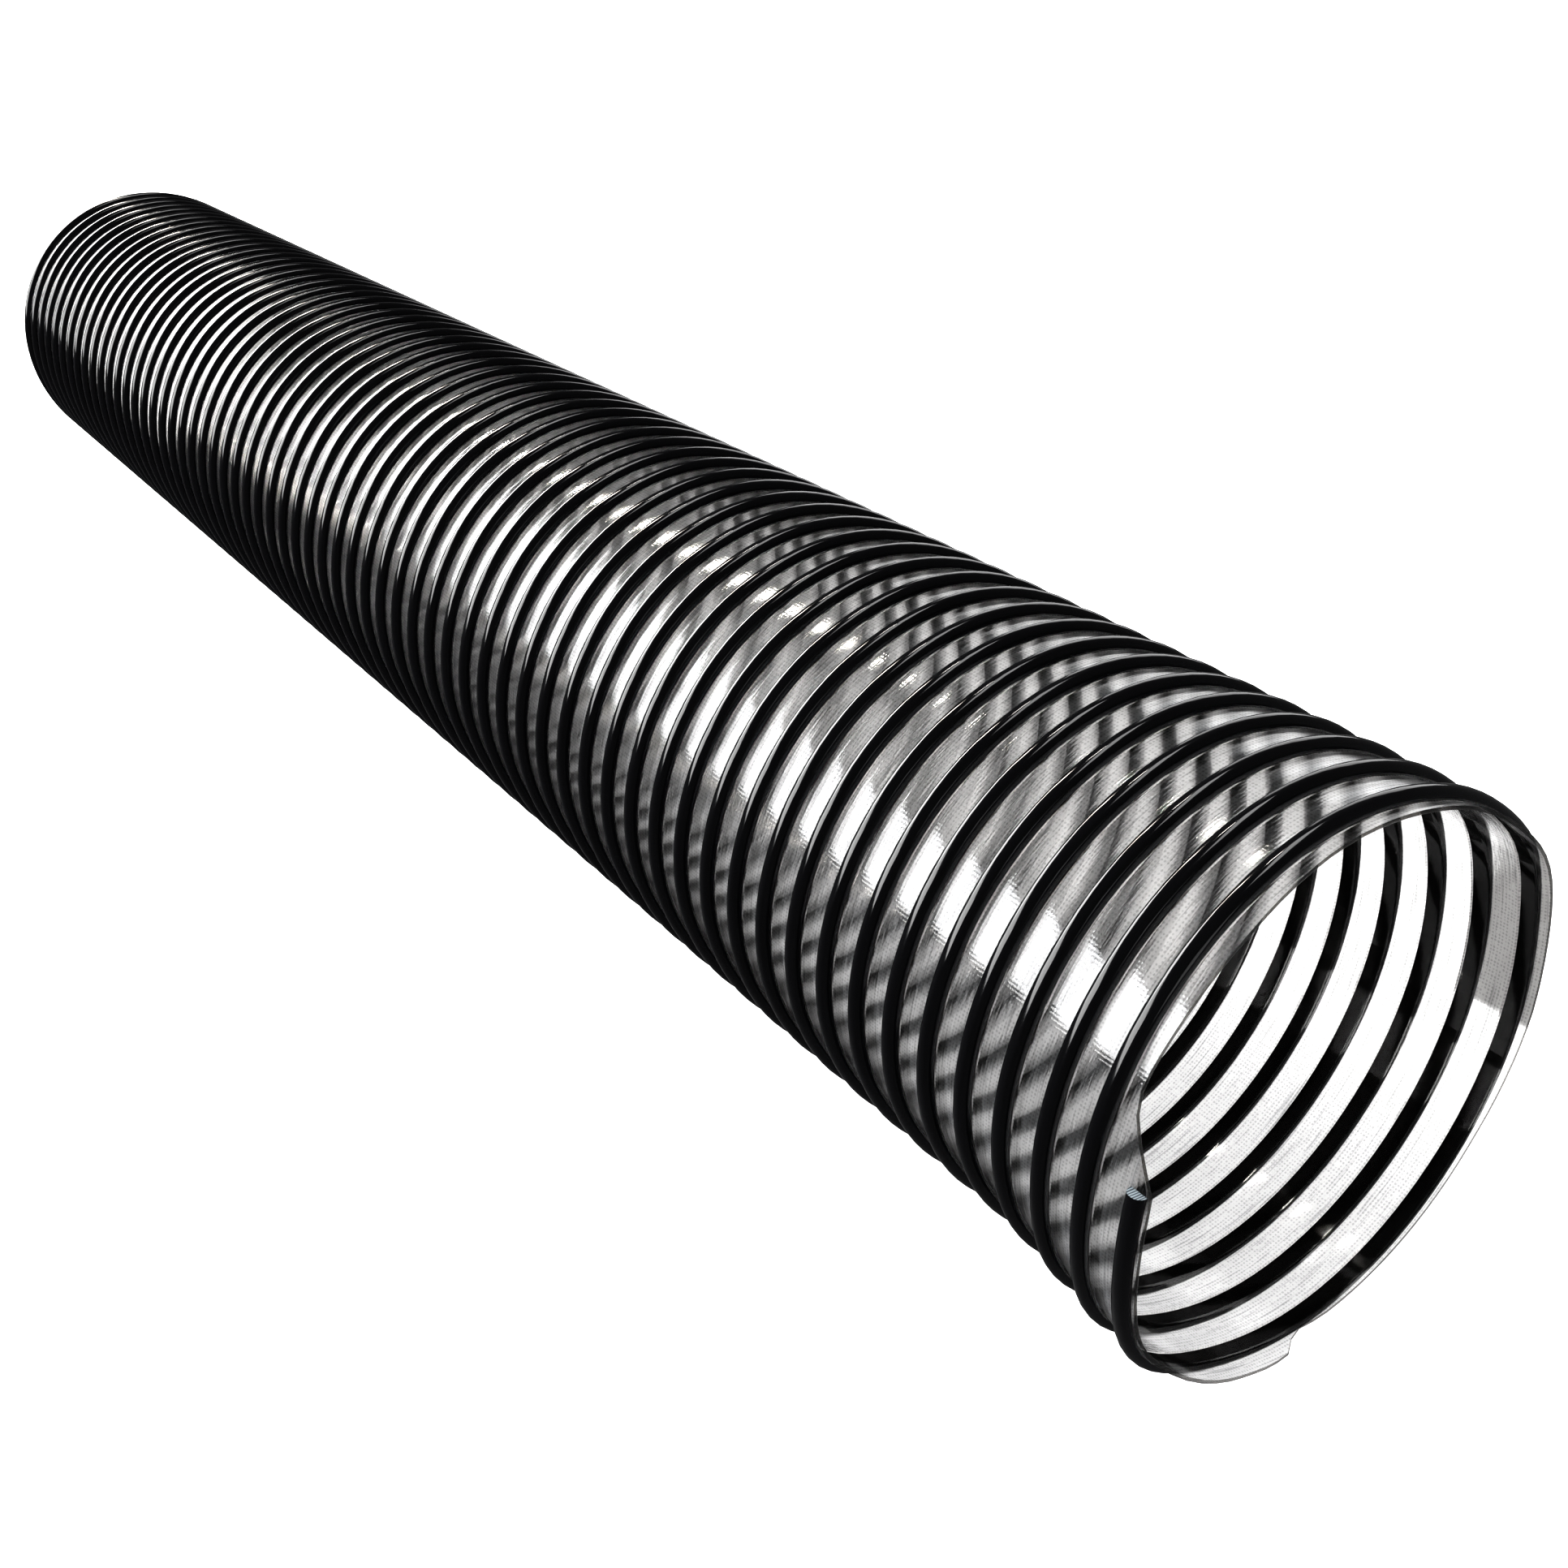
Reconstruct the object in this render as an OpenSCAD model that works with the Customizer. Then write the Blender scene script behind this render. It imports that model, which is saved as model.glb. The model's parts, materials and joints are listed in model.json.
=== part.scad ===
// Flexible air duct: a clear soft PVC tube wound from strip, with a half-round rigid PVC rib wound
// round it as a left-hand helix. The duct lies along +X with its near mouth at the origin.
//
// The tube bends between rib turns. Here it is a chain of rigid sections. Each section is a ring of
// wall with its own rib turns, and thin bands of film join one section to the next.

/* [Duct] */
// Inside diameter of the tube
bore_d = 150; // [140:1:170]
// Wall thickness where the film lies under the ribs
film_t = 1.0; // [0.9:0.1:2]
// Axial distance from one rib turn to the next
pitch = 14.4; // [13:0.1:18]
// Length of the duct, counted in pitches
length_pitches = 64; // [24:4:64]

/* [Rib] */
// Width of the rib along the duct
rib_w = 5.0; // [3:0.5:6]
// Height of the rib above the film
rib_h = 3.0; // [2:0.5:4]
// Straight segments in one rib turn
rib_segments = 24; // [16:4:24]
// Distance from the near mouth to the middle of the rib's free end, counted in pitches
near_bare = 0.35; // [0.3:0.05:0.6]
// Distance from the middle of the rib's other end to the far mouth, counted in pitches
far_bare = 0.5; // [0.3:0.05:0.6]
// Where the rib's free end stands at the near mouth, in degrees from +Y towards +Z
rib_end_angle = 6; // [-60:1:60]

/* [Bending] */
// Rib turns carried by one rigid section
section_turns = 4; // [4:1:4]
// Half the length of each bending band
bend_half = 8.0; // [7:0.5:10]
// Film thickness in a bending band
bend_t = 0.3; // [0.2:0.1:0.4]
// Gap between the rib ends of neighbouring sections, measured round the duct
rib_slit = 0.8; // [0.6:0.1:1.2]

/* [Hidden] */
bore_r = bore_d / 2;
film_r = bore_r + film_t;
bend_r = bore_r + bend_t;
duct_length = length_pitches * pitch;
sections = length_pitches / section_turns;

// The rib crosses every split plane at the top of the duct, where the vertical hinge axis passes.
top_angle = 90;
turns_to_first_split = section_turns - 1 + (rib_end_angle + 360 - top_angle) / 360;
rib_start_x = near_bare * pitch;
rib_end_x = duct_length - far_bare * pitch;
first_split_x = rib_start_x + turns_to_first_split * pitch;
slit_x = rib_slit / 2 / (2 * PI * film_r) * pitch;

// One flat of the rib polygon faces straight down, so that the duct lies still on a floor.
segment_angle = 360 / rib_segments;
ring_offset = segment_angle / 2;
arc_points = 5;
rib_profile = [for (i = [0 : arc_points - 1])
    let (a = 180 * i / (arc_points - 1)) [-rib_w / 2 * cos(a), rib_h * sin(a)]];

film_colour = [0.84, 0.86, 0.88, 0.45];
rib_colour = [0.03, 0.03, 0.035];

function two_digits(n) = n < 10 ? str("0", n) : str(n);
function wall_name(i) = str("film_wall_", two_digits(i));
function bend_name(i) = str("flex_band_", two_digits(i));
function coil_name(i) = str("rib_coil_", two_digits(i));

// Split planes are numbered from 1. Number 0 is the near mouth and the last is the far mouth.
function split_x(i) = i == 0 ? 0
    : i == sections ? duct_length
    : first_split_x + (i - 1) * section_turns * pitch;

// The rib is a left-hand helix: its angle falls as x grows.
function rib_angle(x) = top_angle - 360 * (x - first_split_x) / pitch;
function rib_x(angle) = first_split_x + (top_angle - angle) / 360 * pitch;

// Angles of the profile rings between two ends, with none closer to an end than a tenth of a segment.
function ring_angles(first, last) = let (
        high = floor((first - ring_offset) / segment_angle - 0.1),
        low = ceil((last - ring_offset) / segment_angle + 0.1)
    ) concat([first], [for (k = [high : -1 : low]) ring_offset + k * segment_angle], [last]);

function ring_points(angle) = [for (p = rib_profile)
    [rib_x(angle) + p[0], (film_r + p[1]) * cos(angle), (film_r + p[1]) * sin(angle)]];

// A tube along +X between two stations
module tube_along_x(from_x, to_x, inner_r, outer_r) {
    translate([from_x, 0, 0])
        rotate([0, 90, 0])
            difference() {
                cylinder(h = to_x - from_x, r = outer_r, $fn = 128);
                translate([0, 0, -1])
                    cylinder(h = to_x - from_x + 2, r = inner_r, $fn = 128);
            }
}

// Stiff ring of film under the rib turns of section i
module film_wall(i) {
    from_x = split_x(i - 1) + (i == 1 ? 0 : bend_half);
    to_x = split_x(i) - (i == sections ? 0 : bend_half);
    color(film_colour)
        tube_along_x(from_x, to_x, bore_r, film_r);
}

// Thin ring of film that bends between sections i and i + 1
module flex_band(i) {
    color(film_colour)
        tube_along_x(split_x(i) - bend_half, split_x(i) + bend_half, bore_r, bend_r);
}

// Rib turns of section i, swept ring by ring
module rib_coil(i) {
    from_x = i == 1 ? rib_start_x : split_x(i - 1) + slit_x;
    to_x = i == sections ? rib_end_x : split_x(i) - slit_x;
    angles = ring_angles(rib_angle(from_x), rib_angle(to_x));
    last_ring = len(angles) - 1;
    points = [for (a = angles) each ring_points(a)];
    sides = [for (r = [0 : last_ring - 1], p = [0 : arc_points - 1])
        let (q = (p + 1) % arc_points, near = r * arc_points, far = near + arc_points)
            [near + p, far + p, far + q, near + q]];
    near_cap = [for (p = [0 : arc_points - 1]) p];
    far_cap = [for (p = [arc_points - 1 : -1 : 0]) last_ring * arc_points + p];
    color(rib_colour)
        polyhedron(points = points, faces = concat(sides, [near_cap, far_cap]));
}

for (i = [1 : sections]) {
    film_wall(i);
    rib_coil(i);
}
for (i = [1 : sections - 1]) {
    flex_band(i);
}
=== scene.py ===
"""Flexible air duct: clear soft PVC film with a half-round black PVC rib wound round it.

The visible film and rib are built in spans. Each span runs from the middle of one rigid CAD
section to the middle of the next; the end spans ride on the end sections, the rest on none.
Lengths are in metres, in the CAD frame: the duct lies along +X.
"""
import json
import math

import bpy
import numpy as np
from mathutils import Matrix, Vector


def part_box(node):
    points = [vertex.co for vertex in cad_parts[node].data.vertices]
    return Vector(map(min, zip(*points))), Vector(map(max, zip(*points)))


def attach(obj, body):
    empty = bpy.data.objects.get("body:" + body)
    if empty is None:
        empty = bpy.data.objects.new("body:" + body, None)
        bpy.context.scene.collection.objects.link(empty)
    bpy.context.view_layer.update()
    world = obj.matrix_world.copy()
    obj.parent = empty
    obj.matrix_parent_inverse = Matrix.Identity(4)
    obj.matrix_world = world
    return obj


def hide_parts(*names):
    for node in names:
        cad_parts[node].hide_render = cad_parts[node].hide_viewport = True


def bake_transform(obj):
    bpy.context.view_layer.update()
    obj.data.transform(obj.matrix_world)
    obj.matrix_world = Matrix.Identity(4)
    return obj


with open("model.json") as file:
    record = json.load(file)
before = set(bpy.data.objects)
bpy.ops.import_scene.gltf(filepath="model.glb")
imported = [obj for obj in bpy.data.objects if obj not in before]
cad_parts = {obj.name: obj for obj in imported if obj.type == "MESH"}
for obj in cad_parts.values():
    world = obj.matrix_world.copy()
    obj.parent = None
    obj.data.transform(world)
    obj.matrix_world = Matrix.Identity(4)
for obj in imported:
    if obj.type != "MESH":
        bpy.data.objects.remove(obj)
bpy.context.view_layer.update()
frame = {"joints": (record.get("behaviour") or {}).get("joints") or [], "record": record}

MM = 0.001
STRIP_UV = "strip"
SAME = 1e-6                     # turns or metres closer than this are the same
WHITE = (1, 1, 1)

# ---------------------------------------------------------------- sizes taken from the frame
record = frame["record"]
joints = frame["joints"]
SPLITS = [joint["pos_m"][0] for joint in joints]
SECTIONS = len(SPLITS) + 1
SECTION_TURNS = 4
SECTION = SPLITS[1] - SPLITS[0]
PITCH = SECTION / SECTION_TURNS
BORE_R = record["mounts"][0]["dims"]["r_mm"] * MM
LENGTH = record["mounts"][0]["dims"]["length_mm"] * MM

FILM_T = 1.0 * MM
FILM_R = BORE_R + FILM_T
RIB_HALF_W = 2.5 * MM
RIB_H = 3.0 * MM
FIRST_COIL = "rib_coil_01"
LAST_COIL = f"rib_coil_{SECTIONS:02d}"
RIB_START_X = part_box(FIRST_COIL)[0].x + RIB_HALF_W
RIB_END_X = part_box(LAST_COIL)[1].x - RIB_HALF_W

# ---------------------------------------------------------------- the helix
RINGS = 90                      # rings in one turn of the helix
TOP = math.pi / 2               # the rib crosses every split plane at the top


def turns_at(x):
    """Turns of the rib's centre line from the first split plane to station x."""
    return (x - SPLITS[0]) / PITCH


def helix_angle(turns):
    """Left-hand helix: the angle from +Y towards +Z falls as x grows."""
    return TOP - 2 * math.pi * turns


def centre_x(turns):
    return SPLITS[0] + turns * PITCH


RIB_START = turns_at(RIB_START_X)
RIB_END = turns_at(RIB_END_X)
END_ANGLE = math.degrees(helix_angle(RIB_START)) % 360


def smooth(t):
    t = np.clip(t, 0, 1)
    return t * t * (3 - 2 * t)


# ---------------------------------------------------------------- the near mouth's cut edge
# Film left past the rib's flank, going round from the rib's free end: degrees from it, millimetres.
BARE_FILM = (
    (0, 0.9), (38, 1.0), (46, 2.0), (54, 5.6), (62, 6.9), (78, 6.6), (85, 5.4), (87.5, 2.6),
    (91, 0.7), (98, 1.5), (150, 1.8), (180, 3.2), (250, 3.8), (290, 4.0), (312, 5.0),
    (330, 4.6), (343, 3.6), (347, 4.4), (352, 8.0), (360, 15.0),
)


def bare_film(degrees):
    table = np.array(BARE_FILM)
    return np.interp(degrees, table[:, 0], table[:, 1]) * MM


def near_edge_x(angle):
    """Station of the film's cut edge at each angle round the near mouth."""
    past_end = (END_ANGLE - np.degrees(angle)) % 360
    return RIB_START_X + past_end / 360 * PITCH - RIB_HALF_W - bare_film(past_end)


# ---------------------------------------------------------------- the wall's shape
LIP_MID = 2.8 * MM              # the clear lip beside the rib, from the rib's centre line
LIP_HALF_W = 0.32 * MM
LIP_H = 0.4 * MM
BOW_START = 3.1 * MM
BOW_H = 0.22 * MM
GAP_MID = PITCH / 2
LIP_FADES = 60                  # the lips end within a sixtieth of a turn past the rib's ends


def wall_rise(x, angle):
    """Lip height and bow height at points on the wall."""
    turns = turns_at(x)
    strand = np.round((helix_angle(turns) - angle) / (2 * math.pi))
    offset = -((helix_angle(turns) - angle) / (2 * math.pi) - strand) * PITCH
    ribbed = turns - offset / PITCH
    present = smooth((ribbed - RIB_START) * LIP_FADES + 1)
    present = present * smooth((RIB_END - ribbed) * LIP_FADES + 1)
    away = np.abs(offset)
    lip = np.sqrt(np.clip(1 - ((away - LIP_MID) / LIP_HALF_W) ** 2, 0, 1)) * LIP_H * present
    bow = (1 - np.clip((GAP_MID - away) / (GAP_MID - BOW_START), 0, 1) ** 2) * BOW_H
    return lip, bow


# The soft near end hangs out of round: degrees round the mouth, spread, and millimetres outwards.
OUT_OF_ROUND = ((326, 22, 6.0), (148, 14, 2.5), (100, 20, -1.2))
OUT_OF_ROUND_REACH = 66 * MM


def out_of_round(x, angle):
    degrees = np.degrees(angle)
    total = 0 * x
    for middle, spread, height in OUT_OF_ROUND:
        turn = (degrees - middle + 180) % 360 - 180
        total = total + height * MM * np.exp(-(turn / spread) ** 2)
    return total * smooth(1 - x / OUT_OF_ROUND_REACH)


# Loose film at the near mouth leans out: degrees round the mouth, spread in degrees, and how far.
FLARE_AT = 160
FLARE_SPREAD = 14
FLARE_OUT = 1.0 * MM
FLARE_OVER = 4 * MM             # it leans out by FLARE_OUT this far past the rib's flank
FLARE_MOST = 2                  # and by no more than this many times FLARE_OUT


def flare(x, angle):
    """How far the loose film at the near mouth stands out past the duct's radius."""
    degrees = np.degrees(angle) % 360
    turn = (degrees - FLARE_AT + 180) % 360 - 180
    past_end = (END_ANGLE - degrees) % 360
    flank = RIB_START_X + past_end / 360 * PITCH - RIB_HALF_W
    loose = np.clip((flank - x) / FLARE_OVER, 0, FLARE_MOST)
    return FLARE_OUT * np.exp(-(turn / FLARE_SPREAD) ** 2) * loose


def outer_r(x, angle):
    lip, bow = wall_rise(x, angle)
    return FILM_R + np.maximum(lip, bow) + flare(x, angle) + out_of_round(x, angle)


def inner_r(x, angle):
    _, bow = wall_rise(x, angle)
    return BORE_R + bow * 0.5 + flare(x, angle) + out_of_round(x, angle)


def on_wall(x, angle, radius):
    return np.stack([x, radius * np.cos(angle), radius * np.sin(angle)], -1)


def wall_normals(points, radius_at, outward):
    """Normals of the wall r(x, angle) by differences, so that neighbouring spans shade as one."""
    x = points[:, 0]
    angle = np.arctan2(points[:, 2], points[:, 1])
    step = 0.02 * MM
    r = radius_at(x, angle)
    slope_x = (radius_at(x + step, angle) - radius_at(x - step, angle)) / (2 * step)
    turn = step / r
    slope_a = (radius_at(x, angle + turn) - radius_at(x, angle - turn)) / (2 * step)
    radial = np.stack([0 * x, np.cos(angle), np.sin(angle)], -1)
    round_ = np.stack([0 * x, -np.sin(angle), np.cos(angle)], -1)
    axial = np.array([1.0, 0.0, 0.0])
    normal = radial - slope_x[:, None] * axial - slope_a[:, None] * round_
    normal /= np.linalg.norm(normal, axis=1)[:, None]
    return normal if outward else -normal


# Where the film's skins have grid lines across the strip, in millimetres from the rib.
OUTER_STATIONS = (
    -7.2, -6.2, -5.2, -4.2, -3.5, -3.2, -3.1, -3.0, -2.9, -2.75, -2.6, -2.45,
    2.45, 2.6, 2.75, 2.9, 3.0, 3.1, 3.2, 3.5, 4.2, 5.2, 6.2,
)
INNER_STATIONS = (-7.2, -5.6, -4.2, -3.2, -2.2, 2.2, 3.2, 4.2, 5.6)


def clip_plane(points, faces, x_cut, keep_above):
    """Cuts polygons with the plane x = x_cut and keeps one side."""
    points = list(map(tuple, points))
    sign = 1 if keep_above else -1
    tolerance = 1e-7
    made = {}
    kept = []
    side = [sign * (p[0] - x_cut) for p in points]
    for face in faces:
        if all(side[v] >= -tolerance for v in face):
            kept.append(face)
            continue
        if all(side[v] <= tolerance for v in face):
            continue
        cut = []
        for a, b in zip(face, face[1:] + face[:1]):
            if side[a] >= -tolerance:
                cut.append(a)
            if (side[a] > tolerance and side[b] < -tolerance) or (
                side[a] < -tolerance and side[b] > tolerance
            ):
                key = (min(a, b), max(a, b))
                if key not in made:
                    t = side[a] / (side[a] - side[b])
                    pa, pb = points[a], points[b]
                    made[key] = len(points)
                    points.append(tuple(pa[i] + t * (pb[i] - pa[i]) for i in range(3)))
                    points[-1] = (x_cut, points[-1][1], points[-1][2])
                    side.append(0.0)
                cut.append(made[key])
        if len(cut) >= 3:
            kept.append(cut)
    return np.array(points), kept


def wall_patch(from_x, to_x, stations, radius_at, outward):
    """One surface of the film between two planes, on a grid that follows the rib."""
    stations = np.array(stations) * MM
    count = len(stations)
    first = math.floor((turns_at(from_x) - 0.5) * RINGS) - 1
    last = math.ceil((turns_at(to_x) + 0.5) * RINGS) + 1
    rings = np.arange(first - RINGS, last + RINGS + 1)
    turns = rings / RINGS
    angle = helix_angle(turns)[:, None] + 0 * stations
    x = centre_x(turns)[:, None] + stations
    edge = near_edge_x(angle)
    trimmed = x < edge
    x = np.maximum(x, edge)
    points = on_wall(x, angle, radius_at(x, angle)).reshape(-1, 3)
    trimmed = trimmed.reshape(-1)
    faces = []
    for row in range(len(rings) - RINGS - 1):
        for column in range(count):
            a, b = row * count + column, (row + 1) * count + column
            if column + 1 < count:
                c, d = b + 1, a + 1
            else:
                c, d = (row + 1 + RINGS) * count, (row + RINGS) * count
            corners = [a, d, c, b]
            if all(trimmed[v] for v in corners):
                continue
            faces.append(corners if outward else corners[::-1])
    return weld(*clip_plane(*clip_plane(points, faces, from_x, True), to_x, False))


WELD_WITHIN = 0.002 * MM


def weld(points, faces):
    """Merges points that coincide, and drops what collapses."""
    used = sorted({v for face in faces for v in face})
    keys, place, kept = {}, {}, []
    for v in used:
        key = tuple(np.round(points[v] / WELD_WITHIN).astype(int))
        if key not in keys:
            keys[key] = len(kept)
            kept.append(points[v])
        place[v] = keys[key]
    out = []
    for face in faces:
        ids = [place[v] for v in face]
        ids = [v for i, v in enumerate(ids) if v != ids[i - 1]]
        if len(set(ids)) >= 3 and len(set(ids)) == len(ids):
            out.append(ids)
    return np.array(kept), out


# The rounded cut edge: share of the film's thickness, and millimetres it stands proud.
RIM_PROFILE = ((0.0, 0.0), (0.2, 0.12), (0.5, 0.18), (0.8, 0.12), (1.0, 0.0))


def cut_rim(edge_at, outward_sign):
    """The cut face of the film, slightly rounded, all the way round a mouth."""
    angle = TOP - np.arange(RINGS) / RINGS * 2 * math.pi
    x = edge_at(angle)
    low, high = inner_r(x, angle), outer_r(x, angle)
    rows = []
    for share, proud in RIM_PROFILE:
        rows.append(on_wall(x + outward_sign * proud * MM, angle, low + share * (high - low)))
    points = np.concatenate(rows)
    faces = []
    for row in range(len(rows) - 1):
        for i in range(RINGS):
            j = (i + 1) % RINGS
            quad = [row * RINGS + i, row * RINGS + j, (row + 1) * RINGS + j, (row + 1) * RINGS + i]
            faces.append(quad if outward_sign < 0 else quad[::-1])
    return points, faces


def strip_uv(points, corners, face_of_corner):
    """Metres along the wound strip, and metres across it from the rib, for each face corner."""
    turns = turns_at(points[:, 0])
    angle = np.arctan2(points[:, 2], points[:, 1])
    around = 2 * math.pi
    counts = np.bincount(face_of_corner)
    middle = np.stack([np.bincount(face_of_corner, points[corners, i]) / counts for i in range(3)], -1)
    middle_angle = np.arctan2(middle[:, 2], middle[:, 1])
    middle_turns = turns_at(middle[:, 0])
    strand = np.floor((middle_turns * around + middle_angle - TOP) / around + 1e-9)
    own_angle = middle_angle[face_of_corner]
    turned = angle[corners] - own_angle
    turned -= np.round(turned / around) * around
    unwound = TOP - (own_angle + turned) + strand[face_of_corner] * around
    across = turns[corners] * PITCH - unwound / around * PITCH
    return np.stack([unwound * FILM_R, across], -1)


def span_mesh(name, patches, materials):
    """One mesh from patches of (points, faces, point normals or None, corner uv or None, slot)."""
    points, faces, loop_normals, loop_uv, slots = [], [], [], [], []
    base = 0
    for patch_points, patch_faces, normals, uv, slot in patches:
        points.append(patch_points)
        corners = np.concatenate([np.array(face) for face in patch_faces])
        sizes = np.array([len(face) for face in patch_faces])
        face_of_corner = np.repeat(np.arange(len(patch_faces)), sizes)
        starts = np.concatenate([[0], np.cumsum(sizes)[:-1]])
        if normals is None:
            p = patch_points
            flat = np.cross(p[corners[starts + 1]] - p[corners[starts]],
                            p[corners[starts + 2]] - p[corners[starts]])
            flat /= np.maximum(np.linalg.norm(flat, axis=1), 1e-12)[:, None]
            loop_normals.append(flat[face_of_corner])
        else:
            loop_normals.append(normals[corners])
        if uv is None:
            loop_uv.append(strip_uv(patch_points, corners, face_of_corner))
        else:
            loop_uv.append(uv[corners])
        faces.extend([v + base for v in face] for face in patch_faces)
        slots.extend([slot] * len(patch_faces))
        base += len(patch_points)
    mesh = bpy.data.meshes.new(name)
    mesh.from_pydata(np.concatenate(points).tolist(), [], faces)
    mesh.polygons.foreach_set("material_index", slots)
    mesh.polygons.foreach_set("use_smooth", [True] * len(faces))
    layer = mesh.uv_layers.new(name=STRIP_UV)
    layer.data.foreach_set("uv", np.concatenate(loop_uv).astype(np.float32).ravel())
    mesh.update()
    mesh.normals_split_custom_set(np.concatenate(loop_normals).tolist())
    for material in materials:
        mesh.materials.append(material)
    return mesh


def moved_mesh(mesh, name, sections):
    """A copy of a span's mesh, a whole number of sections further along the duct."""
    copy = mesh.copy()
    copy.name = name
    copy.transform(Matrix.Translation((sections * SECTION, 0, 0)))
    layer = copy.uv_layers[STRIP_UV]
    uv = np.zeros(len(layer.data) * 2, np.float32)
    layer.data.foreach_get("uv", uv)
    uv[0::2] += sections * SECTION_TURNS * 2 * math.pi * FILM_R
    layer.data.foreach_set("uv", uv)
    return copy


def add_piece(name, mesh):
    piece = bpy.data.objects.new(name, mesh)
    bpy.context.scene.collection.objects.link(piece)
    return piece


# ---------------------------------------------------------------- the rib
RIB_POWER = 2.25                # 2 is an ellipse, more is squarer
RIB_POINTS = 13
RIB_SUNK = 0.12 * MM            # the rib's base lies this far into the film
RIB_SKIN, RIB_SAWN, RIB_BASE = 0, 1, 2
SAWN_RINGS = (0.35, 0.7, 0.93, 1.0)    # rings on the sawn end, as shares of its outline


def rib_section():
    """The rib's outline: offset along the duct, height, and the two parts of its normal."""
    t = np.linspace(0, math.pi, RIB_POINTS)
    power = 2 / RIB_POWER
    along = -np.sign(np.cos(t)) * np.abs(np.cos(t)) ** power * RIB_HALF_W
    height = np.abs(np.sin(t)) ** power * RIB_H
    height[0] = height[-1] = 0
    normal_along = np.sign(along) * np.abs(along / RIB_HALF_W) ** (RIB_POWER - 1) / RIB_HALF_W
    normal_up = np.abs(height / RIB_H) ** (RIB_POWER - 1) / RIB_H
    size = np.hypot(normal_along, normal_up)
    return along, height, normal_along / size, normal_up / size


def rib_span(name, from_turn, to_turn, materials):
    first = math.floor(from_turn * RINGS + SAME) + 1
    last = math.ceil(to_turn * RINGS - SAME) - 1
    turns = np.concatenate([[from_turn], np.arange(first, last + 1) / RINGS, [to_turn]])
    turns = turns[np.concatenate([[True], np.diff(turns) > SAME])]
    along, height, n_along, n_up = rib_section()
    angle = helix_angle(turns)[:, None]
    x = centre_x(turns)[:, None] + along
    points = on_wall(x, angle + 0 * along, FILM_R + height + out_of_round(x, angle))
    radial = np.stack([0 * angle, np.cos(angle), np.sin(angle)], -1)
    axial = np.array([1.0, 0.0, 0.0])
    normals = radial * n_up[None, :, None] + axial * n_along[None, :, None]
    rows, columns = len(turns), len(along)
    faces = []
    for r in range(rows - 1):
        for c in range(columns - 1):
            a = r * columns + c
            faces.append([a, a + 1, a + columns + 1, a + columns])
    length = (turns * math.hypot(2 * math.pi * FILM_R, PITCH))[:, None] + 0 * along
    uv = np.stack([length, along + 0 * length], -1).reshape(-1, 2)
    patches = [(points.reshape(-1, 3), faces, normals.reshape(-1, 3), uv, RIB_SKIN)]

    # the flat base, sunk into the film, with short sides up to the outline
    sides = x[:, [0, -1]]
    low = on_wall(sides, angle + np.zeros(2), FILM_R - RIB_SUNK + out_of_round(sides, angle))
    top = points[:, [0, -1]]
    base_points = np.concatenate([low[:, 0], low[:, 1], top[:, 0], top[:, 1]])
    base_faces = []
    for r in range(rows - 1):
        a, b = r, r + 1
        base_faces.append([a, b, rows + b, rows + a])
        base_faces.append([a, 2 * rows + a, 2 * rows + b, b])
        base_faces.append([rows + a, rows + b, 3 * rows + b, 3 * rows + a])
    base_uv = np.zeros((len(base_points), 2))
    patches.append((base_points, base_faces, None, base_uv, RIB_BASE))

    if abs(from_turn - RIB_START) < SAME:
        patches.append(sawn_face(points[0], low[0], True))
    if abs(to_turn - RIB_END) < SAME:
        patches.append(sawn_face(points[-1], low[-1], False))
    return span_mesh(name, patches, materials)


def sawn_face(outline, base, facing_back):
    """The sawn end of the rib: a filled half-round with the saw's ridges across it."""
    ring = np.concatenate([outline, base[::-1]])
    centre = ring.mean(0)
    points = [centre]
    for step in SAWN_RINGS:
        points.extend(centre + (p - centre) * step for p in ring)
    count = len(ring)
    faces = [[0, 1 + i, 1 + (i + 1) % count] for i in range(count)]
    for s in range(len(SAWN_RINGS) - 1):
        for i in range(count):
            j = (i + 1) % count
            a, b = 1 + s * count, 1 + (s + 1) * count
            faces.append([a + i, b + i, b + j, a + j])
    if facing_back:
        faces = [face[::-1] for face in faces]
    points = np.array(points)
    uv = points[:, [0, 2]]
    return points, faces, None, uv, RIB_SAWN


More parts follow.
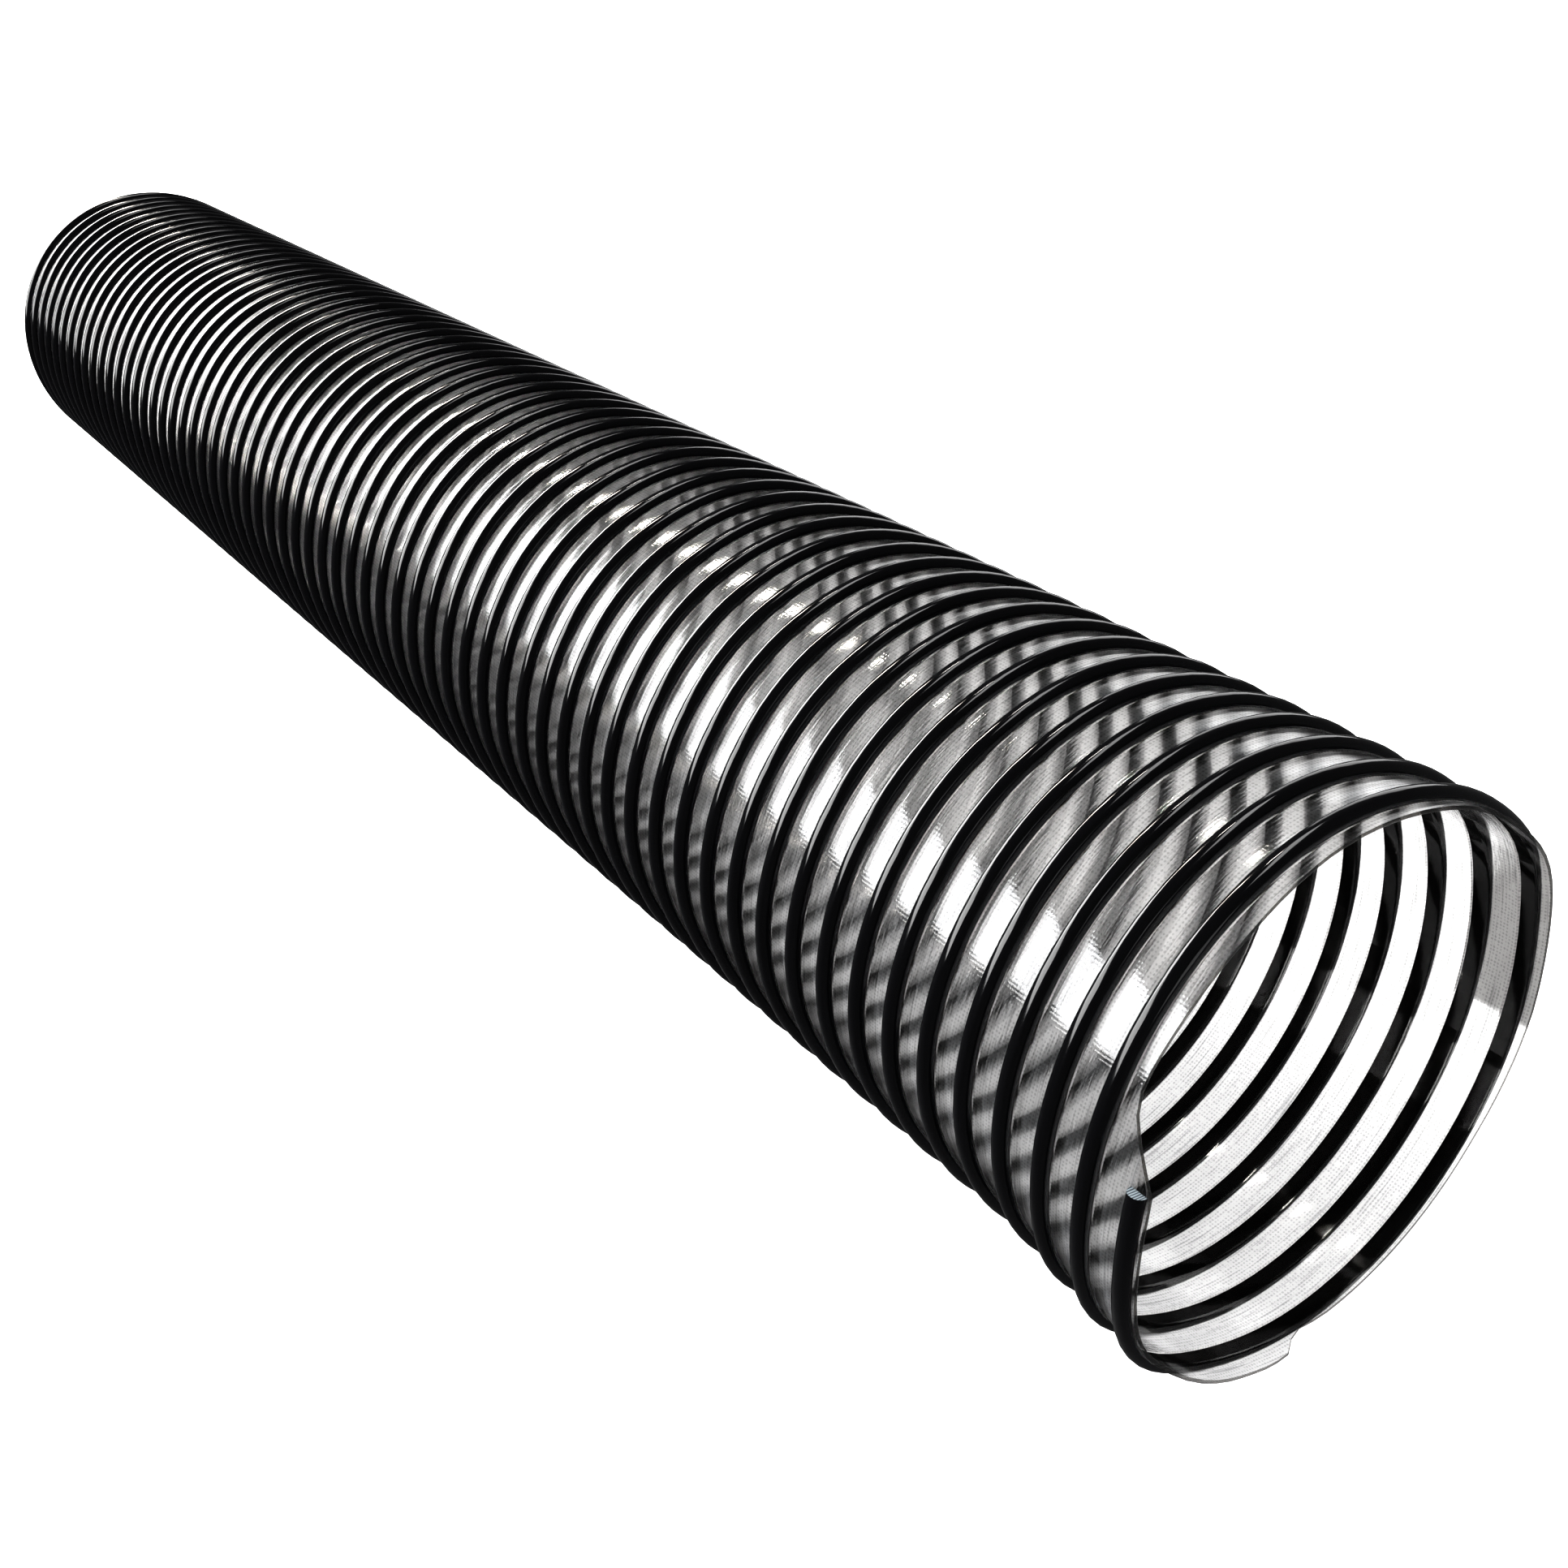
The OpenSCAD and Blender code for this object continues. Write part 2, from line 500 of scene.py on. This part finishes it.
# ---------------------------------------------------------------- materials
class Nodes:
    """Short ways to add and join shader nodes."""

    def __init__(self, name):
        self.material = bpy.data.materials.new(name)
        self.material.use_nodes = True
        self.tree = self.material.node_tree
        self.tree.nodes.clear()

    def add(self, kind, **settings):
        node = self.tree.nodes.new(kind)
        for key, value in settings.items():
            setattr(node, key, value)
        return node

    def put(self, socket, value):
        if isinstance(value, bpy.types.NodeSocket):
            self.tree.links.new(value, socket)
        else:
            socket.default_value = value

    def math(self, operation, a, b=None, clamp=False):
        node = self.add("ShaderNodeMath", operation=operation, use_clamp=clamp)
        self.put(node.inputs[0], a)
        if b is not None:
            self.put(node.inputs[1], b)
        return node.outputs[0]

    def ramp(self, factor, low, high, to_low=0.0, to_high=1.0):
        node = self.add("ShaderNodeMapRange", interpolation_type="SMOOTHSTEP")
        self.put(node.inputs["Value"], factor)
        self.put(node.inputs["From Min"], low)
        self.put(node.inputs["From Max"], high)
        self.put(node.inputs["To Min"], to_low)
        self.put(node.inputs["To Max"], to_high)
        return node.outputs[0]

    def ramp_straight(self, factor, at_0, at_1):
        node = self.add("ShaderNodeMapRange")
        self.put(node.inputs["Value"], factor)
        self.put(node.inputs["To Min"], at_0)
        self.put(node.inputs["To Max"], at_1)
        return node.outputs[0]

    def colours(self, factor, first, second):
        node = self.add("ShaderNodeMix", data_type="RGBA")
        self.put(node.inputs[0], factor)
        self.put(node.inputs[6], (*first, 1) if isinstance(first, tuple) else first)
        self.put(node.inputs[7], (*second, 1) if isinstance(second, tuple) else second)
        return node.outputs[2]

    def mix(self, factor, first, second):
        node = self.add("ShaderNodeMixShader")
        self.put(node.inputs[0], factor)
        self.put(node.inputs[1], first)
        self.put(node.inputs[2], second)
        return node.outputs[0]

    def noise(self, vector, scale, detail=2.0):
        node = self.add("ShaderNodeTexNoise")
        self.put(node.inputs["Vector"], vector)
        self.put(node.inputs["Scale"], scale)
        self.put(node.inputs["Detail"], detail)
        return node.outputs["Fac"]

    def drawn_noise(self, uv, along, across):
        """Noise drawn out along the wound strip: marks per metre along it and across it."""
        stretch = self.add("ShaderNodeMapping")
        stretch.inputs["Scale"].default_value = (along, across, 1.0)
        self.put(stretch.inputs["Vector"], uv)
        return self.noise(stretch.outputs[0], 1.0, 3.0)

    def bump(self, height, strength, distance, under=None):
        node = self.add("ShaderNodeBump")
        if under is not None:
            self.put(node.inputs["Normal"], under)
        self.put(node.inputs["Strength"], strength)
        self.put(node.inputs["Distance"], distance)
        self.put(node.inputs["Height"], height)
        return node.outputs["Normal"]

    def done(self, surface):
        output = self.add("ShaderNodeOutputMaterial")
        self.put(output.inputs["Surface"], surface)
        return self.material


STREAK_TINT = (0.30, 0.305, 0.32)    # in the fine drawn lines of the film's outside
RIB_SIDE_SHADE_TINT = (0.50, 0.485, 0.465)      # painted shade, brown-grey, on the film just beside the rib
WEAVE = 1.00 * MM                    # spacing of the fine lines moulded into the film's outside
GRAZING_POWER = 2.8                  # higher keeps the edge tint to the most grazing looks
EDGE_MILK = 0.6                      # how bright the milkiness stays at a grazing look
MIRROR_FACE_ON = 0.04                # share of light that clear plastic mirrors face on
MIRROR_POWER = 5.0                   # how that share grows to all of it at a grazing look


def film_material(name, woven, haze, frost, tint, edge_tint, milk, roughness):
    """Clear film: see-through, part of it blurred by the moulded lines, under a gloss."""
    n = Nodes(name)
    uv = n.add("ShaderNodeUVMap", uv_map=STRIP_UV)
    parts = n.add("ShaderNodeSeparateXYZ")
    n.put(parts.inputs[0], uv.outputs[0])
    along, across = parts.outputs[0], parts.outputs[1]
    facing = n.add("ShaderNodeLayerWeight")
    facing.inputs["Blend"].default_value = 0.5
    grazing = n.math("POWER", facing.outputs["Facing"], GRAZING_POWER)
    from_rib = n.math("ABSOLUTE", across)
    see_colour = n.colours(grazing, tint, edge_tint)
    if woven:
        # Painted shade: the outside film darkens towards the grazing tint just beside the rib.
        see_colour = n.colours(n.ramp(from_rib, 2.5 * MM, 3.4 * MM, 0.4, 0.0), see_colour, edge_tint)
    else:
        # Painted shade beside the rib: brown-grey, wide on one side of the rib and narrow on the other.
        see_colour = n.colours(n.ramp(across, -5.0 * MM, -2.6 * MM, 0.0, 0.7), see_colour, RIB_SIDE_SHADE_TINT)
        see_colour = n.colours(n.ramp(across, 2.4 * MM, 2.9 * MM, 0.5, 0.0), see_colour, RIB_SIDE_SHADE_TINT)

    waves = n.noise(uv.outputs[0], 55.0, 2.0)
    normal = n.bump(waves, 0.15, 0.5 * MM)
    veil = haze
    if woven:
        wobble = n.math("MULTIPLY", n.noise(uv.outputs[0], 90.0, 2.0), 2.4)
        lines = n.math("SINE", n.math("ADD", n.math("MULTIPLY", across, 2 * math.pi / WEAVE), wobble))
        cross = n.math("SINE", n.math("MULTIPLY", along, 2 * math.pi / (WEAVE * 1.1)))
        weave = n.math("MULTIPLY", n.math("ADD", lines, cross), 0.5)
        normal = n.bump(weave, 0.3, 0.03 * MM, normal)
        threads = n.ramp(weave, -0.6, 0.8, haze * 0.2, haze * 2.6)
        cloudy = n.ramp(n.noise(uv.outputs[0], 40.0, 3.0), 0.3, 0.7, 0.7, 1.3)
        veil = n.math("MULTIPLY", threads, cloudy)
        speckle = n.math("MULTIPLY", n.ramp(weave, -0.9, 0.9), n.noise(uv.outputs[0], 700.0, 1.0))
        see_colour = n.colours(n.ramp(speckle, 0.3, 0.5, 0.0, 0.4), see_colour, STREAK_TINT)
        streaks = n.drawn_noise(uv.outputs[0], 45.0, 1400.0)
        see_colour = n.colours(n.ramp(streaks, 0.54, 0.68, 0.0, 0.45), see_colour, STREAK_TINT)
        normal = n.bump(streaks, 0.4, 0.08 * MM, normal)
    veil = n.math("ADD", veil, n.math("MULTIPLY", grazing, 0.02), clamp=True)

    see = n.add("ShaderNodeBsdfTransparent")
    n.put(see.inputs["Color"], see_colour)
    see = see.outputs[0]
    if frost > 0:
        blurred = n.add("ShaderNodeBsdfRefraction")
        n.put(blurred.inputs["Color"], see_colour)
        blurred.inputs["IOR"].default_value = 1.03
        blurred.inputs["Roughness"].default_value = 0.35
        ripples = n.drawn_noise(uv.outputs[0], 220.0, 1300.0)
        n.put(blurred.inputs["Normal"], n.bump(ripples, 1.0, 0.22 * MM))
        path = n.add("ShaderNodeLightPath")
        not_shadow = n.math("SUBTRACT", 1.0, path.outputs["Is Shadow Ray"])
        see = n.mix(n.math("MULTIPLY", not_shadow, frost), see, blurred.outputs[0])
    edge_milk = tuple(EDGE_MILK * channel for channel in milk)
    milky = n.add("ShaderNodeBsdfDiffuse")
    n.put(milky.inputs["Color"], n.colours(grazing, milk, edge_milk))
    through = n.add("ShaderNodeBsdfTranslucent")
    n.put(through.inputs["Color"], n.colours(grazing, milk, edge_milk))
    body = n.mix(veil, see, n.mix(0.5, milky.outputs[0], through.outputs[0]))

    gloss = n.add("ShaderNodeBsdfGlossy")
    gloss.inputs["Color"].default_value = (*WHITE, 1)
    gloss.inputs["Roughness"].default_value = roughness
    mirror = n.math("POWER", facing.outputs["Facing"], MIRROR_POWER)
    mirror = n.ramp_straight(mirror, MIRROR_FACE_ON, 1.0)
    for node in (gloss, milky, through):
        n.put(node.inputs["Normal"], normal)
    clear_of_rib = n.ramp(from_rib, 2.2 * MM, 2.7 * MM, 0.15, 1.0)
    return n.done(n.mix(n.math("MULTIPLY", mirror, clear_of_rib), body, gloss.outputs[0]))


def rib_material(name):
    n = Nodes(name)
    uv = n.add("ShaderNodeUVMap", uv_map=STRIP_UV)
    drawn = n.drawn_noise(uv.outputs[0], 30.0, 900.0)
    shader = n.add("ShaderNodeBsdfPrincipled")
    n.put(shader.inputs["Base Color"], n.colours(drawn, (0.001, 0.001, 0.0012), (0.004, 0.004, 0.005)))
    n.put(shader.inputs["Roughness"], n.ramp(drawn, 0.3, 0.7, 0.07, 0.13))
    n.put(shader.inputs["Normal"], n.bump(drawn, 0.08, 0.04 * MM))
    shader.inputs["IOR"].default_value = 1.5
    shader.inputs["Specular IOR Level"].default_value = 0.4
    return n.done(shader.outputs[0])


def rib_base_material(name):
    """The rib's matt underside, seen from inside through the film it is welded to."""
    n = Nodes(name)
    uv = n.add("ShaderNodeUVMap", uv_map=STRIP_UV)
    shader = n.add("ShaderNodeBsdfPrincipled")
    mottle = n.noise(uv.outputs[0], 300.0, 2.0)
    n.put(shader.inputs["Base Color"], n.colours(mottle, (0.001, 0.001, 0.0012), (0.004, 0.004, 0.004)))
    shader.inputs["Roughness"].default_value = 0.6
    shader.inputs["Specular IOR Level"].default_value = 0.05
    return n.done(shader.outputs[0])


def sawn_material(name):
    n = Nodes(name)
    uv = n.add("ShaderNodeUVMap", uv_map=STRIP_UV)
    parts = n.add("ShaderNodeSeparateXYZ")
    n.put(parts.inputs[0], uv.outputs[0])
    warp = n.noise(uv.outputs[0], 600.0, 2.0)
    phase = n.math("ADD", n.math("MULTIPLY", parts.outputs[0], 2 * math.pi / (0.7 * MM)),
                   n.math("MULTIPLY", warp, 5.0))
    ridges = n.math("SINE", phase)
    shader = n.add("ShaderNodeBsdfPrincipled")
    tone = n.ramp(ridges, -1, 1)
    n.put(shader.inputs["Base Color"], n.colours(tone, (0.05, 0.06, 0.07), (0.30, 0.35, 0.38)))
    shader.inputs["Roughness"].default_value = 0.45
    n.put(shader.inputs["Normal"], n.bump(ridges, 0.5, 0.1 * MM))
    return n.done(shader.outputs[0])


OUTSIDE, INSIDE, CUT = 0, 1, 2
film_materials = [
    film_material("film_outside", woven=True, haze=0.008, frost=0.72, tint=(0.985, 0.99, 1.0),
                  edge_tint=(0.82, 0.835, 0.86), milk=(0.50, 0.50, 0.50), roughness=0.06),
    film_material("film_inside", woven=False, haze=0.005, frost=0.0, tint=(0.88, 0.89, 0.90),
                  edge_tint=(0.76, 0.765, 0.78), milk=(0.50, 0.50, 0.50), roughness=0.05),
    film_material("film_cut", woven=False, haze=0.50, frost=0.0, tint=(0.20, 0.19, 0.18),
                  edge_tint=(0.08, 0.075, 0.07), milk=(0.03, 0.03, 0.03), roughness=0.25),
]
rib_materials = [rib_material("rib_black"), sawn_material("rib_sawn"), rib_base_material("rib_base")]


# ---------------------------------------------------------------- spans
MIDDLES = [x - SECTION / 2 for x in SPLITS] + [SPLITS[-1] + SECTION / 2]
FILM_FROM = -20 * MM            # a plane before the cut edge, so that only the edge trims the film


def film_span(name, from_x, to_x):
    patches = []
    for stations, radius_at, outward, slot in (
        (OUTER_STATIONS, outer_r, True, OUTSIDE),
        (INNER_STATIONS, inner_r, False, INSIDE),
    ):
        points, faces = wall_patch(from_x, to_x, stations, radius_at, outward)
        patches.append((points, faces, wall_normals(points, radius_at, outward), None, slot))
    if from_x < 0:
        points, faces = cut_rim(near_edge_x, -1)
        patches.append((points, faces, None, None, CUT))
    if to_x >= LENGTH - SAME:
        points, faces = cut_rim(lambda angle: 0 * angle + LENGTH, 1)
        patches.append((points, faces, None, None, CUT))
    return span_mesh(name, patches, film_materials)


def place(piece, span, slot):
    """Span 0 rides on the first section, the last on the last, and the rest are attached to no section.
    """
    if span == 0:
        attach(piece, "section_01")
    elif span == SECTIONS:
        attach(piece, f"section_{SECTIONS:02d}")
    else:
        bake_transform(piece)


def rib_span_between(name, span):
    from_turn = turns_at(MIDDLES[span - 1]) if span > 0 else RIB_START
    to_turn = turns_at(MIDDLES[span]) if span < SECTIONS else RIB_END
    return rib_span(name, from_turn, to_turn, rib_materials)


def film_span_between(name, span):
    from_x = MIDDLES[span - 1] if span > 0 else FILM_FROM
    to_x = MIDDLES[span] if span < SECTIONS else LENGTH
    return film_span(name, from_x, to_x)


# From the third span to the last but one all are alike, so one mesh is made and copied along.
FIRST_ALIKE = 2
like = {}
for span in range(SECTIONS + 1):
    for kind, make in (("film", film_span_between), ("rib", rib_span_between)):
        name = f"{kind}_span_{span:02d}"
        if FIRST_ALIKE < span < SECTIONS:
            mesh = moved_mesh(like[kind], name, span - FIRST_ALIKE)
        else:
            mesh = make(name, span)
        if span == FIRST_ALIKE:
            like[kind] = mesh
        piece = add_piece(name, mesh)
        place(piece, span, kind)
        if span > 0:
            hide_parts(f"{'film_wall' if kind == 'film' else 'rib_coil'}_{span:02d}")
        if kind == "film" and 0 < span < SECTIONS:
            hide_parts(f"flex_band_{span:02d}")

# ---------------------------------------------------------------- floor, light and camera
FLOOR_Z = -(FILM_R + RIB_H) - 0.1 * MM
FLOOR_HALF = 12.0
FLOOR_CORNERS = ((-FLOOR_HALF, -FLOOR_HALF), (FLOOR_HALF, -FLOOR_HALF),
                 (FLOOR_HALF, FLOOR_HALF), (-FLOOR_HALF, FLOOR_HALF))

# The brown card's outline, in millimetres. Four corners were calculated for this camera, so that
# the right-hand film near the mouth looks brown there, a painted shade. It is a prop for that one view.
CARD_CORNERS = ((78, -158), (125, -239), (169, -285), (225, -330), (-150, -420), (-150, -158))
CARD_LIFT = 2 * MM


def flat_mesh(name, corners, z):
    mesh = bpy.data.meshes.new(name)
    mesh.from_pydata([(x, y, z) for x, y in corners], [], [list(range(len(corners)))])
    return mesh


def make_floor():
    """The pale floor. It glows, and the duct's gloss doesn't reflect it."""
    mesh = flat_mesh("floor", FLOOR_CORNERS, FLOOR_Z)
    n = Nodes("floor_pale")
    coordinates = n.add("ShaderNodeTexCoord")
    speckle = n.noise(coordinates.outputs["Object"], 25.0, 4.0)
    shader = n.add("ShaderNodeBsdfPrincipled")
    n.put(shader.inputs["Base Color"], n.colours(speckle, (0.52, 0.52, 0.52), (0.55, 0.55, 0.55)))
    shader.inputs["Roughness"].default_value = 0.9
    shader.inputs["Emission Color"].default_value = (0.985, 0.99, 1, 1)
    shader.inputs["Emission Strength"].default_value = 0.92
    mesh.materials.append(n.done(shader.outputs[0]))
    floor = bpy.data.objects.new("floor", mesh)
    floor.visible_glossy = False
    bpy.context.scene.collection.objects.link(floor)


def make_shade_card():
    """A brown card on the floor beside the open end, for painted shade in the film. Only light that the
    film bends meets it.
    """
    corners = [(x * MM, y * MM) for x, y in CARD_CORNERS]
    mesh = flat_mesh("dark_card", corners, FLOOR_Z + CARD_LIFT)
    n = Nodes("card_brown")
    coordinates = n.add("ShaderNodeTexCoord")
    mottle = n.noise(coordinates.outputs["Object"], 30.0, 3.0)
    shader = n.add("ShaderNodeBsdfPrincipled")
    n.put(shader.inputs["Base Color"], n.colours(mottle, (0.010, 0.008, 0.006), (0.04, 0.032, 0.026)))
    shader.inputs["Roughness"].default_value = 0.9
    mesh.materials.append(n.done(shader.outputs[0]))
    card = bpy.data.objects.new("dark_card", mesh)
    for kind in ("camera", "diffuse", "glossy", "shadow", "volume_scatter"):
        setattr(card, "visible_" + kind, False)
    bpy.context.scene.collection.objects.link(card)


def area_light(name, place_at, look_at, width, height, power, colour=WHITE):
    light = bpy.data.lights.new(name, "AREA")
    light.shape = "RECTANGLE"
    light.size = width
    light.size_y = height
    light.energy = power
    light.color = colour
    lamp = bpy.data.objects.new(name, light)
    bpy.context.scene.collection.objects.link(lamp)
    lamp.location = place_at
    lamp.rotation_mode = "QUATERNION"
    lamp.rotation_quaternion = (Vector(look_at) - Vector(place_at)).to_track_quat("-Z", "Y")


make_floor()
make_shade_card()
area_light("side_wall_near", (1.35, 1.75, 0.62), (0.1, 0.05, 0.35), 2.2, 1.0, 60)
area_light("side_wall_far", (3.0, 0.75, 1.05), (0.6, 0.05, 0.5), 1.6, 1.1, 68)
area_light("top_box", (0.2, -0.3, 2.2), (0.4, 0.0, 0.0), 1.8, 0.6, 20)
area_light("side_wall_right", (1.3, -1.7, 0.78), (0.1, 0.0, 0.4), 1.6, 1.1, 10)
area_light("lamp_small", (1.05, -0.2, 2.2), (0.0, 0.0, 0.0), 0.3, 0.08, 6, (1.0, 0.97, 0.92))
area_light("lamp_row", (2.25, -0.02, 1.0), (2.25, -0.02, 0.0), 2.2, 0.10, 26, (1.0, 0.93, 0.85))
# Two white cards off the ends, which the film mirrors when it is looked at along the bore.
area_light("end_card_near", (-2.5, 0.0, 0.25), (0.0, 0.0, 0.0), 0.9, 0.9, 4)
area_light("end_card_far", (3.6, 0.0, 0.30), (0.9, 0.0, 0.0), 0.9, 0.9, 4)

# The studio's brightness differs with the kind of ray: straight or through the film, in the
# gloss, and for all other light.
SKY_SEEN = 1.0
SKY_IN_GLOSS = 0.13
SKY_OTHER = 0.75


def make_world():
    world = bpy.data.worlds.new("studio")
    bpy.context.scene.world = world
    world.use_nodes = True
    nodes = world.node_tree.nodes
    links = world.node_tree.links

    def between(fraction, at_0, at_1):
        node = nodes.new("ShaderNodeMapRange")
        links.new(fraction, node.inputs["Value"])
        for key, value in (("To Min", at_0), ("To Max", at_1)):
            if isinstance(value, bpy.types.NodeSocket):
                links.new(value, node.inputs[key])
            else:
                node.inputs[key].default_value = value
        return node.outputs["Result"]

    path = nodes.new("ShaderNodeLightPath")
    seen = nodes.new("ShaderNodeMath")
    seen.operation = "MAXIMUM"
    links.new(path.outputs["Is Camera Ray"], seen.inputs[0])
    links.new(path.outputs["Is Transmission Ray"], seen.inputs[1])
    unseen = between(path.outputs["Is Glossy Ray"], SKY_OTHER, SKY_IN_GLOSS)
    background = nodes["Background"]
    links.new(between(seen.outputs[0], unseen, SKY_SEEN), background.inputs["Strength"])
    background.inputs["Color"].default_value = (*WHITE, 1)


CAMERA_AT = (-190.9 * MM, 309.5 * MM, 272.4 * MM)
CAMERA_TURN = math.radians(234.81)
CAMERA_DIP = math.radians(28.79)
CAMERA_SENSOR = 36.0
CAMERA_LENS = 40.3


def make_camera():
    data = bpy.data.cameras.new("camera")
    data.sensor_width = CAMERA_SENSOR
    data.lens = CAMERA_LENS
    data.clip_start = 0.01
    camera = bpy.data.objects.new("camera", data)
    bpy.context.scene.collection.objects.link(camera)
    camera.location = CAMERA_AT
    forward = Vector((
        -math.sin(CAMERA_TURN) * math.cos(CAMERA_DIP),
        math.cos(CAMERA_TURN) * math.cos(CAMERA_DIP),
        -math.sin(CAMERA_DIP),
    ))
    camera.rotation_mode = "QUATERNION"
    camera.rotation_quaternion = forward.to_track_quat("-Z", "Y")
    return camera


make_world()
bpy.context.scene.camera = make_camera()
bpy.context.scene.view_settings.view_transform = "Standard"
bpy.context.scene.view_settings.look = "High Contrast"
